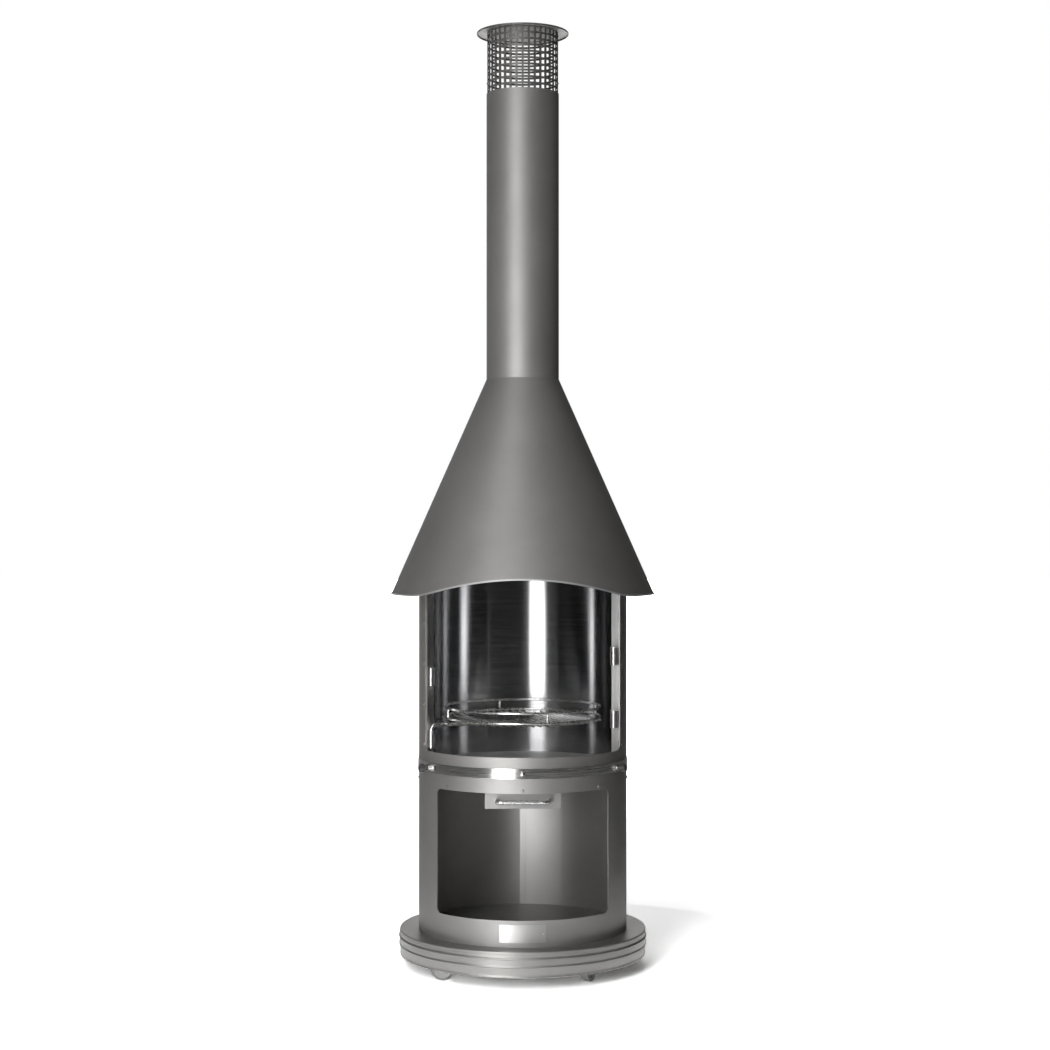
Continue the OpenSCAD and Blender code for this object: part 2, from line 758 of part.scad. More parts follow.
module ash_drawer() {
    front = -drawer_front_y + drawer_t;
    length = tray_back_y - front;
    color("lightgray") difference() {
        union() {
            translate([-tray_w / 2, front, tray_bottom]) cube([tray_w, length, tray_h]);
            translate([-tray_w / 2 - tray_lip_w, front + runner_front_gap, tray_top - drawer_t])
                cube([tray_w + 2 * tray_lip_w, length - runner_front_gap, drawer_t]);
        }
        translate([-tray_w / 2 + drawer_t, front + drawer_t, tray_bottom + drawer_t])
            cube([tray_w - 2 * drawer_t, length - 2 * drawer_t, tray_h]);
        handle_ends() hole(handle_screw_d, handle_bore_l);
    }
}

// The two ends of the handle, pointing out of the drawer's front.
module handle_ends() {
    for (side = [-1, 1]) translate([side * handle_pitch / 2, -drawer_front_y, handle_z])
        rotate([90, 0, 0]) children();
}

module drawer_front() {
    color("silver") difference() {
        translate([-drawer_front_w / 2, -drawer_front_y, drawer_front_z])
            cube([drawer_front_w, drawer_t, drawer_front_h]);
        handle_ends() hole(handle_screw_d, handle_bore_l);
    }
}

module drawer_handle() {
    leg = handle_out - handle_bar_r - handle_bend;
    bar = handle_pitch - 2 * handle_bend;
    color("gainsboro") difference() {
        union() {
            handle_ends() cylinder(r = handle_bar_r, h = leg);
            for (side = [-1, 1]) translate([side * bar / 2, -drawer_front_y - leg, handle_z])
                rotate([0, 0, side > 0 ? -90 : 180]) rotate_extrude(angle = 90)
                    translate([handle_bend, 0]) circle(r = handle_bar_r);
            translate([-bar / 2, -drawer_front_y - leg - handle_bend, handle_z])
                rotate([0, 90, 0]) cylinder(r = handle_bar_r, h = bar);
        }
        handle_ends() translate([0, 0, -over])
            cylinder(r = handle_screw_d / 2 + run_gap, h = handle_bore_l + over);
    }
}

module handle_screws() {
    inside = 2 * drawer_t + weld_gap / 2;
    color("gainsboro") handle_ends() translate([0, 0, -inside]) mirror([0, 0, 1])
        fastener(screw_head_d, screw_head_h, handle_screw_d, inside + handle_bore_l * 0.8);
}

// Firebox

// Height of the bowl's top face at a radius inside its slope.
function bowl_top(r) = bowl_rim_z - bowl_drop * (bowl_slope_r - r) / (bowl_slope_r - ash_hole_r);

// The inner ring that joins the two shells, with a ledge under the bowl's rim.
module joint_ring() {
    ledge = bowl_rim_z - bowl_t - seat_gap;
    inner = joint_ring_r - bowl_t;
    color("darkgray") difference() {
        rotate([0, 0, seam_a]) rotate_extrude() polygon([
            [joint_ring_r, joint_ring_z], [joint_ring_r, joint_ring_top], [inner, joint_ring_top],
            [inner, ledge], [inner - ring_ledge_w, ledge], [inner - ring_ledge_w, ledge - bowl_t],
            [inner, ledge - bowl_t], [inner, joint_ring_z]
        ]);
        band_screw_places() hole(screw_d, 3 * over);
        side_bolt_places() hole(bolt_d, 3 * over);
    }
}

module fire_bowl() {
    low = bowl_rim_z - bowl_t;
    color("darkgray") rotate([0, 0, seam_a]) rotate_extrude() polygon([
        [bowl_r, bowl_rim_z], [bowl_slope_r, bowl_rim_z], [ash_hole_r, bowl_top(ash_hole_r)],
        [ash_hole_r, divider_z - neck_drop], [neck_r, divider_z - neck_drop],
        [neck_r, bowl_top(neck_r) - bowl_t], [bowl_slope_r, low], [bowl_r, low]
    ]);
}

module ash_grate() {
    low = bowl_top(ash_grate_r) + seat_gap;
    pitch = 2 * ash_slot_w;
    color("dimgray") difference() {
        translate([0, 0, low]) cylinder(r = ash_grate_r, h = ash_grate_t);
        for (i = [0:ash_slots_n - 1]) let (
            x = (i - (ash_slots_n - 1) / 2) * pitch,
            half = sqrt(pow(ash_hole_r, 2) - x * x) - ash_slot_w / 2
        ) translate([x, 0, low - over]) {
            translate([-ash_slot_w / 2, -half, 0]) cube([ash_slot_w, 2 * half, ash_grate_t + 2 * over]);
        }
    }
}

module clamp_band() {
    inner = shell_r + seat_gap;
    color("silver") difference() {
        tube(inner + band_t, inner, band_z, band_h);
        band_screw_places() hole(screw_d, over);
        side_bolt_places() hole(bolt_d, over);
    }
}

// Puts a child on the band at a turn from the front.
module on_band(turn) {
    radial(turn, shell_r + seat_gap + band_t, band_screw_z) children();
}

module band_screw_places() {
    for (turn = [0, 180 - side_bolt_turn, 180, 180 + side_bolt_turn]) on_band(turn) children();
}

module band_screws() {
    color("gainsboro") band_screw_places() translate([0, 0, weld_gap / 2])
        fastener(bolt_head_d, 2 * bolt_head_h, screw_d, band_t + 2 * seat_gap + shell_t + 2 * bowl_t);
}

module side_bolt_places() {
    for (side = [-1, 1]) on_band(side * side_bolt_turn) children();
}

// Bolts that clamp the band to the shell, each with a washer and a nut.
module side_bolts() {
    nut_top = side_washer_t + side_nut_h;
    low = -band_t - 2 * seat_gap - shell_t - bowl_t;
    color("gainsboro") side_bolt_places() translate([0, 0, weld_gap / 2]) rotate_extrude() polygon([
        [0, low], [bolt_d / 2, low], [bolt_d / 2, 0], [side_washer_d / 2, 0],
        [side_washer_d / 2, side_washer_t], [side_nut_d / 2, side_washer_t],
        [side_nut_d / 2, nut_top], [bolt_d / 2, nut_top], [bolt_d / 2, side_neck_l], [0, side_neck_l]
    ]);
}

// Dark round caps screwed on the side bolts' ends.
module side_knobs() {
    low = side_washer_t + side_nut_h + weld_gap;
    bore_r = bolt_d / 2 + hole_gap;
    bore_top = side_neck_l + side_cap_l / 3;
    top = side_neck_l + side_cap_l;
    cap_r = side_cap_d / 2;
    round_r = cap_r * 0.4;
    color("dimgray") side_bolt_places() translate([0, 0, weld_gap / 2]) rotate_extrude() polygon([
        [bore_r, low], [side_nut_d / 2, low], [side_nut_d / 2, side_neck_l],
        [cap_r - round_r / 2, side_neck_l], [cap_r, side_neck_l + round_r / 2],
        [cap_r, top - round_r], [cap_r - round_r * 0.3, top - round_r * 0.3],
        [cap_r - round_r, top], [0, top], [0, bore_top], [bore_r, bore_top]
    ]);
}

module upper_shell() {
    color("slategray") difference() {
        union() {
            tube(shell_r, shell_in, joint_z, upper_h);
            window_return(fire_z, fire_open_h, fire_half_a, fire_corner);
        }
        window_cut(fire_z, fire_open_h, fire_half_a, fire_corner);
        band_screw_places() hole(screw_d, over);
        side_bolt_places() hole(bolt_d, over);
        liner_rivet_places() hole(rivet_d, over);
        bracket_screw_places() hole(screw_d, over);
    }
}

module firebox_liner() {
    back_half = 180 - flange_a;
    lip_r = shell_in - seat_gap;
    h = liner_top - bowl_rim_z;
    fin_half = arc_deg(liner_t, liner_r) / 2;
    lip_half = arc_deg(liner_lip_w, lip_r) / 2;
    color("gainsboro") difference() {
        union() {
            sector(180, back_half - fin_half)
                translate([liner_r - liner_t, bowl_rim_z]) square([liner_t, h]);
            for (side = [-1, 1]) {
                rotate([0, 0, side * (flange_a + fin_half) - 90]) rotate([90, 0, 0])
                    translate([0, 0, -liner_t / 2]) linear_extrude(height = liner_t) polygon([
                        [liner_r - liner_t / 2, bowl_rim_z], [flange_root_r, bowl_rim_z],
                        [flange_root_r, lip_z], [lip_r - liner_t / 2, lip_z],
                        [lip_r - liner_t / 2, liner_top], [liner_r - liner_t / 2, liner_top]
                    ]);
                sector(side * (flange_a + fin_half + lip_half), lip_half)
                    translate([lip_r - liner_t, lip_z]) square([liner_t, liner_top - lip_z]);
            }
        }
        liner_rivet_places() hole(rivet_d, 2 * over);
    }
}

module liner_rivet_places() {
    for (side = [-1, 1], i = [0:rivet_rows - 1])
        radial(side * rivet_a, shell_r, joint_z + rivet_start + i * rivet_pitch) children();
}

module liner_rivets() {
    color("dimgray") liner_rivet_places() translate([0, 0, weld_gap / 2])
        fastener(rivet_head_d, rivet_head_h, rivet_d, shell_t + seat_gap + 2 * liner_t);
}

// Grill

module socket(side, h) {
    color("gainsboro") translate([side * -pivot[0], pivot[1], joint_z + h]) difference() {
        cylinder(d = socket_d, h = socket_l);
        translate([0, 0, -over]) cylinder(d = socket_bore_d, h = socket_l + 2 * over);
    }
}

module socket_left_lower() {
    socket(-1, socket_left_low_h);
}

module socket_left_upper() {
    socket(-1, socket_left_high_h);
}

module socket_right_lower() {
    socket(1, socket_right_low_h);
}

module socket_right_upper() {
    socket(1, socket_right_high_h);
}

// Turns a child from the grill's own frame, with the rod along +X from the pivot, to its place.
module grill_frame() {
    translate([pivot[0], pivot[1], 0]) rotate([0, 0, arm_angle]) children();
}

module grill_arm() {
    foot_z = joint_z + socket_left_low_h + arm_foot_gap;
    bend_z = arm_z - arm_bend;
    reach = arm_reach + arm_past - arm_bend;
    color("gainsboro") grill_frame() {
        translate([0, 0, foot_z]) cylinder(d = arm_d, h = bend_z - foot_z);
        translate([arm_bend, 0, bend_z]) rotate([90, 0, 180]) rotate_extrude(angle = 90)
            translate([arm_bend, 0]) circle(d = arm_d);
        translate([arm_bend, 0, arm_z]) rotate([0, 90, 0]) {
            cylinder(d = arm_d, h = reach);
            translate([0, 0, reach]) sphere(d = arm_d);
        }
    }
}

module grill_rings() {
    color("gainsboro") grill_frame() for (z = [ring_z, ring_z + ring_gap]) translate([arm_reach, 0, z])
        rotate_extrude() translate([ring_r, 0]) circle(d = ring_wire_d);
}

module grill_posts() {
    low = ring_z + ring_wire_d / 2 + weld_gap;
    h = ring_gap - ring_wire_d - 2 * weld_gap;
    color("gainsboro") grill_frame() translate([arm_reach, 0, low]) for (i = [0:posts_n - 1])
        rotate([0, 0, i * 360 / posts_n]) translate([ring_r, 0, 0]) cylinder(d = ring_wire_d, h = h);
}

module grill_bars() {
    steps = floor((ring_r - bar_d) / bar_pitch);
    color("gainsboro") grill_frame() translate([arm_reach, 0, bars_z]) for (i = [-steps:steps]) let (
        x = i * bar_pitch,
        half = sqrt(pow(grill_r, 2) - x * x)
    ) translate([x, -half, 0]) rotate([-90, 0, 0]) cylinder(d = bar_d, h = 2 * half);
}

// Hood

// Everything below the hood's lower edge raised by a height, in front of the axis.
module below_arch(raise) {
    step = 2 * arch_half / arch_steps;
    edge = [for (i = [0:arch_steps]) let (x = -arch_half + i * step) [x, arch_z(x) + raise]];
    low = hood_rim_z - over;
    rotate([90, 0, 0]) linear_extrude(height = hood_d)
        polygon(concat([[-arch_half, low]], edge, [[arch_half, low]]));
}

// The cone's sheet from a depth below its outside to a distance above it, up to a height over the rim.
module cone_sheet(depth, out, h) {
    top = hood_rim_z + h;
    rotate_extrude() polygon([
        [cone_r(hood_rim_z) - depth, hood_rim_z], [cone_r(hood_rim_z) + out, hood_rim_z],
        [cone_r(top) + out, top], [cone_r(top) - depth, top]
    ]);
}

module hood() {
    color("slategray") difference() {
        union() {
            cone_sheet(cone_wall, 0, hood_cone_h);
            cone_sheet(cone_wall / 2, hem_out, hem_w);
            intersection() {
                cone_sheet(cone_wall / 2, hem_out, arch_rise + 2 * hem_w);
                below_arch(hem_w);
            }
        }
        below_arch(0);
    }
}

module hood_brackets() {
    outer = shell_in - seat_gap;
    wall = cone_wall + seat_gap;
    bend_z = hood_rim_z + (hood_r - wall - outer) / cone_slope;
    top = shell_top + bracket_high;
    low = shell_top - bracket_low;
    color("dimgray") difference() {
        for (i = [0:brackets_n - 1]) sector(45 + i * 90, arc_deg(bracket_w, outer) / 2) polygon([
            [outer, low], [outer, bend_z], [cone_r(top) - wall, top], [cone_r(top) - wall - bracket_t, top],
            [outer - bracket_t, bend_z - bracket_t / 2], [outer - bracket_t, low]
        ]);
        bracket_screw_places() hole(screw_d, 2 * over);
    }
}

module bracket_screw_places() {
    for (i = [0:brackets_n - 1]) radial(45 + i * 90, shell_r, bracket_screw_z) children();
}

module bracket_screws() {
    color("gainsboro") bracket_screw_places() translate([0, 0, weld_gap / 2])
        fastener(screw_head_d, screw_head_h, screw_d, shell_t + seat_gap + 2 * bracket_t);
}

// Chimney

module chimney_collar() {
    r = pipe_in - seat_gap;
    color("gray") tube(r, r - guard_t, hood_top - collar_down, collar_up + collar_down);
}

module flue_pipe() {
    color("slategray") tube(pipe_r, pipe_in, hood_top, pipe_l);
}

// The perforated guard: rows of square holes, each row spaced evenly round the tube.
module spark_guard() {
    pipe_top = hood_top + pipe_l;
    first_row = pipe_top + mesh_start - mesh_hole / 2;
    color("gray") difference() {
        tube(guard_r, guard_r - guard_t, pipe_top - guard_insert, guard_insert + guard_h);
        for (row = [0:mesh_rows - 1], column = [0:mesh_columns - 1])
            rotate([0, 0, (column + 0.5) * 360 / mesh_columns])
                translate([guard_r - 2 * guard_t, -mesh_hole / 2, first_row + row * mesh_pitch])
                    cube([3 * guard_t, mesh_hole, mesh_hole]);
        guard_rivet_places() hole(rivet_d, 2 * guard_t);
    }
}

module guard_rivet_places() {
    z = hood_top + pipe_l + mesh_start + guard_rivet_row * mesh_pitch;
    for (turn = [-90, 90]) radial(turn, guard_r, z) children();
}

module guard_rivets() {
    color("silver") guard_rivet_places() translate([0, 0, weld_gap])
        fastener(rivet_head_d * 0.8, rivet_head_h, rivet_d, weld_gap + 2 * guard_t);
}

module rain_cap() {
    r = cap_d / 2;
    top = cap_z + cap_t;
    color("dimgray") rotate_extrude() polygon([
        [0, cap_z], [r - cap_t, cap_z], [r - cap_t, top - cap_lip], [r - cap_t / 2, top - cap_lip],
        [r, top - cap_lip + cap_t / 2], [r, top - cap_t / 2], [r - cap_t / 2, top], [0, top]
    ]);
}

base_plinth();
cross_rails();
castor_plates();
castor_bolts();
kingpins();
for (c = castors) {
    castor_fork(c);
    castor_axle(c);
    castor_hub(c);
    castor_tyre(c);
}
foot_screws();
log_floor();
lower_shell();
nameplate();
nameplate_rivets();
divider_plate();
divider_screws();
drawer_runner_left();
drawer_runner_right();
ash_drawer();
drawer_front();
drawer_handle();
handle_screws();
joint_ring();
fire_bowl();
ash_grate();
clamp_band();
band_screws();
side_bolts();
side_knobs();
upper_shell();
firebox_liner();
liner_rivets();
socket_left_lower();
socket_left_upper();
socket_right_lower();
socket_right_upper();
grill_arm();
grill_rings();
grill_posts();
grill_bars();
hood();
hood_brackets();
bracket_screws();
chimney_collar();
flue_pipe();
spark_guard();
guard_rivets();
rain_cap();
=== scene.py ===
"""Looks of the round garden fireplace: finishes, camera, floor and light tent."""

import json
import math

import bmesh
import bpy
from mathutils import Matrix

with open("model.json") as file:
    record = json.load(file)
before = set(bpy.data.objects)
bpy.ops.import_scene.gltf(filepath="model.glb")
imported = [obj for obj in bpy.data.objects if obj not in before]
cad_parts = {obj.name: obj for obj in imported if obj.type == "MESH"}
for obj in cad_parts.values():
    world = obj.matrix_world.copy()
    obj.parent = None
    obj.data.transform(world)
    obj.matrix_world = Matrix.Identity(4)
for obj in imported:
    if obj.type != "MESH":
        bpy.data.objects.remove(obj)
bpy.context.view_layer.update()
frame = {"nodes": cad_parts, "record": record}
nodes = frame["nodes"]

# Camera, from the photograph in its 1050 x 1050 frame.
PHOTO_PX = 1050
FOCAL_PX = 2017
HORIZON_PX = 516.4
AXIS_PX = 522.7
CAMERA_DISTANCE = 4.863
CAMERA_HEIGHT = 1.078
SENSOR_MM = 36
CLIP_NEAR = 0.05
CLIP_FAR = 60

# The floor's half size, its real grey, and the grey at which WHITE_RAYS see it white in this light.
FLOOR_HALF = 30
FLOOR_PALE = 0.8
FLOOR_SEEN = 3.4

# The world behind the tent's opening: its light on the object, and the white that WHITE_RAYS see.
BEHIND_LEVEL = 0.9
BEHIND_SEEN = 1.0
WHITE_RAYS = ("Is Camera Ray", "Is Glossy Ray", "Is Transmission Ray")

# The light tent's outline as height, radius and share of the upper cloth's brightness. The roof
# rises from the last ring to TENT_TOP, and a strip of the wall is TENT_STEP degrees wide.
TENT_RINGS = [(0.0, 0.8, 0.0), (1.0, 3.0, 0.0), (1.9, 3.0, 0.0), (3.0, 3.0, 1.0), (4.4, 3.0, 1.0)]
TENT_TOP = 4.9
TENT_STEP = 2.0
ROOF_LEVEL = 0.3

# The brightness of the tent's lower and upper cloths, by degrees from the camera's side, left
# negative. The bright stops are the large lamp cloth. The tent is open at the back, where the
# camera sees the white background.
TENT_WALLS = [
    (-164, 0.28, 0.20), (-140, 0.22, 0.15), (-110, 0.14, 0.10), (-80, 0.08, 0.06),
    (-50, 0.05, 0.05), (-31, 0.20, 0.20), (-26, 10.0, 3.00), (-13, 10.0, 3.00),
    (-8, 0.26, 0.24), (0, 0.04, 0.08), (40, 0.03, 0.05), (80, 0.05, 0.07),
    (110, 0.08, 0.09), (140, 0.08, 0.08), (164, 0.10, 0.08),
]

# The lap in the wood store's back wall: its place across, how wide the outer sheet bows from it,
# and the bow's bump. The wall is glossier than the rest, fully so from BACK_WALL_TO on.
LAP_X = -0.007
LAP_BOW_WIDTH = 0.09
LAP_BUMP = (1.0, 0.006)
BACK_WALL_FROM = 0.10
BACK_WALL_TO = 0.20
BACK_WALL_GLOSS = 0.15

# The hood's cone: the fall of its radius per metre of height, and its radius at the floor if it
# went on down there. The hem stands out past that: its painted highlight, a lighter paint colour,
# begins at HEM_FROM and is full at HEM_TO.
CONE_SLOPE = 0.4436
CONE_FOOT = 0.7118
HEM_FROM = 0.0004
HEM_TO = 0.0008

# The liner's flanges lie outside its round wall. They are duller, and their lighter colour is
# painted light, standing in for the light that they catch.
FLANGE_FROM = 0.2278
FLANGE_TO = 0.2283
FLANGE_DULLER = 0.25

# Colours of the finishes, each as the dark and the light tone that its grain mixes.
SHELL_TONES = ((0.262, 0.255, 0.250), (0.330, 0.322, 0.315))
# The hem's tones are lighter than the shell's, as a painted highlight along the hem's edge.
HEM_HIGHLIGHT_TONES = ((0.52, 0.515, 0.51), (0.64, 0.635, 0.63))
PLINTH_TONES = ((0.240, 0.234, 0.228), (0.300, 0.292, 0.285))
INNER_TONES = ((0.14, 0.136, 0.132), (0.19, 0.185, 0.18))
GUARD_TONES = ((0.11, 0.107, 0.104), (0.155, 0.15, 0.146))
# The liner's tones are stainless steel grey, darkened as painted shade for the dark firebox that it
# reflects.
LINER_SHADED_TONES = ((0.33, 0.33, 0.335), (0.40, 0.40, 0.405))
# The flanges' tones are lighter than the liner's, as painted light for the light that they catch.
FLANGE_LIT_TONES = ((0.66, 0.655, 0.65), (0.74, 0.735, 0.73))
BAND_TONES = ((0.60, 0.59, 0.575), (0.68, 0.67, 0.655))
PLATE_TONES = ((0.34, 0.335, 0.33), (0.40, 0.395, 0.39))
# The drawer front's tones are the plate steel darkened as painted shade, to hold down the lamp's
# reflection in it.
FRONT_SHADED_TONES = ((0.20, 0.197, 0.194), (0.24, 0.237, 0.234))
BOWL_TONES = ((0.70, 0.695, 0.69), (0.78, 0.775, 0.77))
ROD_TONES = ((0.62, 0.615, 0.605), (0.78, 0.775, 0.765))
FASTENER_TONES = ((0.5, 0.49, 0.48), (0.66, 0.65, 0.64))
ZINC_TONES = ((0.47, 0.48, 0.49), (0.62, 0.63, 0.64))
HUB_TONES = ((0.58, 0.58, 0.56), (0.70, 0.70, 0.68))
TYRE_TONES = ((0.34, 0.34, 0.33), (0.46, 0.46, 0.45))
KNOB_TONES = ((0.030, 0.029, 0.028), (0.075, 0.073, 0.072))
IRON_TONES = ((0.018, 0.017, 0.016), (0.055, 0.052, 0.05))

# Noises of the finishes, each as scale per metre, detail and roughness.
FLAKES = (1800, 2.0, 0.5)
PAINT_CLOUDS = (5.0, 4.0, 0.6)
PAINT_PATCHES = (9.0, 5.0, 0.6)
SURFACE_GRAIN = (900, 2.0, 0.5)
BRUSH_LINES = (1.0, 3.0, 0.6)
STEEL_CLOUDS = (7.0, 3.0, 0.5)
WIRE_PATCHES = (60, 4.0, 0.65)
WIRE_MARKS = (350, 3.0, 0.5)
IRON_GRAIN = (420, 5.0, 0.7)
IRON_SOOT = (22, 4.0, 0.6)
DUST = (45, 5.0, 0.65)

# How fine the brushing lines are along each axis: round the body, along the flat plates, or none.
ROUND_GRAIN = (8, 8, 900)
PLATE_GRAIN = (6, 60, 1500)
EVEN_GRAIN = (60, 60, 60)

# The share of the finer noise in a tone, with the clouds as the rest.
FLAKE_SHARE = 0.55
LINE_SHARE = 0.7

# The noise values at which a finish has its dark and its light tone, or its low and high roughness.
FLAKE_RANGE = (0.36, 0.64)
TONE_RANGE = (0.35, 0.65)
DUST_RANGE = (0.35, 0.7)
GLOSS_RANGE = (0.3, 0.7)

# How far the roughness goes below and above its middle value.
PAINT_SPREAD = (0.03, 0.04)
STEEL_SPREAD = (0.04, 0.05)
WIRE_SPREAD = (0.05, 0.07)
MOULDED_SPREAD = (0.06, 0.08)
IRON_ROUGHNESS = (0.55, 0.8)
IRON_METALLIC = 0.35

# Bumps of the finishes, each as strength and height in metres.
PEEL_BUMP = (0.10, 0.0002)
LINE_BUMP = (0.06, 0.0001)
ROUND_LINE_BUMP = (0.01, 0.0001)
IRON_BUMP = (0.5, 0.0006)
MOULDED_BUMP = (0.15, 0.0002)

# Round-brushed steel spreads its reflections upwards, with a slight lean outwards.
SPREAD_LEAN = (0.2, 0.2, 0.0)
SPREAD_UP = (0.0, 0.0, 1.0)


def make_camera():
    """A level camera, whose vertical shift puts the horizon where the photograph has it."""
    data = bpy.data.cameras.new("camera")
    data.sensor_width = SENSOR_MM
    data.lens = SENSOR_MM * FOCAL_PX / PHOTO_PX
    data.shift_y = (HORIZON_PX - PHOTO_PX / 2) / PHOTO_PX
    data.clip_start = CLIP_NEAR
    data.clip_end = CLIP_FAR
    camera = bpy.data.objects.new("camera", data)
    side = (PHOTO_PX / 2 - AXIS_PX) * CAMERA_DISTANCE / FOCAL_PX
    camera.location = (side, -CAMERA_DISTANCE, CAMERA_HEIGHT)
    camera.rotation_euler = (math.radians(90), 0, 0)
    bpy.context.scene.collection.objects.link(camera)
    bpy.context.scene.camera = camera


class Nodes:
    """A material's node tree with short calls for the nodes that the finishes use."""

    def __init__(self, name):
        self.material = bpy.data.materials.new(name)
        self.material.use_nodes = True
        self.tree = self.material.node_tree
        self.shader = self.tree.nodes["Principled BSDF"]
        self.position = self.add("ShaderNodeTexCoord").outputs["Object"]

    def add(self, kind, **values):
        """A new node with the given settings."""
        node = self.tree.nodes.new(kind)
        for key, value in values.items():
            setattr(node, key, value)
        return node

    def link(self, source, target):
        """Join a source socket to a target socket."""
        self.tree.links.new(source, target)

    def scaled(self, scale):
        """The position with each axis scaled, for streaks and grain."""
        node = self.add("ShaderNodeMapping")
        node.inputs["Scale"].default_value = scale
        self.link(self.position, node.inputs["Vector"])
        return node.outputs["Vector"]

    def axis(self, name):
        """The position along one axis: X, Y or Z."""
        node = self.add("ShaderNodeSeparateXYZ")
        self.link(self.position, node.inputs["Vector"])
        return node.outputs[name]

    def radius(self):
        """The distance from the body's axis."""
        node = self.add("ShaderNodeVectorMath", operation="LENGTH")
        self.link(self.scaled((1.0, 1.0, 0.0)), node.inputs[0])
        return node.outputs["Value"]

    def noise(self, scale, detail, rough, vector=None):
        """Noise over the position, or over another vector."""
        node = self.add("ShaderNodeTexNoise")
        node.inputs["Scale"].default_value = scale
        node.inputs["Detail"].default_value = detail
        node.inputs["Roughness"].default_value = rough
        self.link(vector or self.position, node.inputs["Vector"])
        return node.outputs["Fac"]

    def ramp(self, value, low, high, out_low=0.0, out_high=1.0):
        """The value spread from the range low to high onto another range, and held at its ends."""
        node = self.add("ShaderNodeMapRange")
        self.link(value, node.inputs["Value"])
        node.inputs["From Min"].default_value = low
        node.inputs["From Max"].default_value = high
        node.inputs["To Min"].default_value = out_low
        node.inputs["To Max"].default_value = out_high
        return node.outputs["Result"]

    def gloss(self, value, roughness, spread):
        """The roughness, varied a little by a noise."""
        below, above = spread
        return self.ramp(value, *GLOSS_RANGE, roughness - below, roughness + above)

    def math(self, operation, a, b):
        """One step of arithmetic on two values, each a number or a socket."""
        node = self.add("ShaderNodeMath", operation=operation)
        for socket, value in zip(node.inputs, (a, b)):
            if isinstance(value, (int, float)):
                socket.default_value = value
            else:
                self.link(value, socket)
        return node.outputs["Value"]

    def blend(self, first, second, share):
        """The two values added, the first by its share and the second by the rest."""
        return self.math("ADD", self.math("MULTIPLY", first, share),
                         self.math("MULTIPLY", second, 1 - share))

    def mix(self, factor, a, b):
        """Colour a where the factor is 0 and b where it is 1, each a tuple or a socket."""
        node = self.add("ShaderNodeMix", data_type="RGBA")
        self.link(factor, node.inputs["Factor"])
        for socket, value in ((node.inputs["A"], a), (node.inputs["B"], b)):
            if isinstance(value, tuple):
                socket.default_value = (*value, 1.0)
            else:
                self.link(value, socket)
        return node.outputs["Result"]

    def bump(self, height, strength, distance, under=None):
        """A bump on the surface, over another one where that is given."""
        node = self.add("ShaderNodeBump")
        node.inputs["Strength"].default_value = strength
        node.inputs["Distance"].default_value = distance
        self.link(height, node.inputs["Height"])
        if under:
            self.link(under, node.inputs["Normal"])
        self.link(node.outputs["Normal"], self.shader.inputs["Normal"])
        return node.outputs["Normal"]

    def finish(self, colour, roughness, metallic, anisotropic=0.0):
        """The material with these values on its shader."""
        self.link(colour, self.shader.inputs["Base Color"])
        self.link(roughness, self.shader.inputs["Roughness"])
        self.shader.inputs["Metallic"].default_value = metallic
        self.shader.inputs["Anisotropic"].default_value = anisotropic
        return self.material


def lap_back_wall(n, rough, peel):
    """Let the light jump at the lap, where the outer sheet bows, and return the new roughness."""
    left = n.ramp(n.axis("X"), LAP_X, LAP_X + LAP_BOW_WIDTH, 1.0, 0.0)
    bow = n.math("SUBTRACT", 1.0, n.math("MULTIPLY", left, left))
    back = n.ramp(n.axis("Y"), BACK_WALL_FROM, BACK_WALL_TO)
    n.bump(n.math("MULTIPLY", bow, back), *LAP_BUMP, under=peel)
    return n.math("SUBTRACT", rough, n.math("MULTIPLY", back, BACK_WALL_GLOSS))


def paint_hem_highlight(n, colour, clouds):
    """Return the colour with a painted highlight, a lighter tone, where the hem stands out from the
    cone.
    """
    cone = n.math("ADD", n.radius(), n.math("MULTIPLY", n.axis("Z"), CONE_SLOPE))
    past = n.math("SUBTRACT", cone, CONE_FOOT)
    return n.mix(n.ramp(past, HEM_FROM, HEM_TO), colour, n.mix(clouds, *HEM_HIGHLIGHT_TONES))


def heatproof_paint(name, tones, metallic=0.75, roughness=0.55, lapped=False, hem_highlighted=False):
    """Satin grey metallic paint: fine flakes, faint clouds and a soft orange-peel surface."""
    n = Nodes(name)
    clouds = n.noise(*PAINT_CLOUDS)
    tone = n.blend(n.noise(*FLAKES), clouds, FLAKE_SHARE)
    colour = n.mix(n.ramp(tone, *FLAKE_RANGE), *tones)
    rough = n.gloss(n.noise(*PAINT_PATCHES), roughness, PAINT_SPREAD)
    peel = n.bump(n.noise(*SURFACE_GRAIN), *PEEL_BUMP)
    if lapped:
        rough = lap_back_wall(n, rough, peel)
    # Painted highlight: the hem's paint is made lighter where it stands out from the cone.
    if hem_highlighted:
        colour = paint_hem_highlight(n, colour, clouds)
    return n.finish(colour, rough, metallic)


def brush(n, clouds, tones, roughness, grain, bump):
    """Draw fine lines along the brushing, and return the steel's colour and roughness."""
    lines = n.noise(*BRUSH_LINES, vector=n.scaled(grain))
    n.bump(lines, *bump)
    colour = n.mix(n.ramp(n.blend(lines, clouds, LINE_SHARE), *TONE_RANGE), *tones)
    return colour, n.gloss(lines, roughness, STEEL_SPREAD)


def flat_steel(name, tones, roughness, grain):
    """Stainless steel brushed straight, or evenly dull."""
    n = Nodes(name)
    colour, rough = brush(n, n.noise(*STEEL_CLOUDS), tones, roughness, grain, LINE_BUMP)
    return n.finish(colour, rough, metallic=1.0)


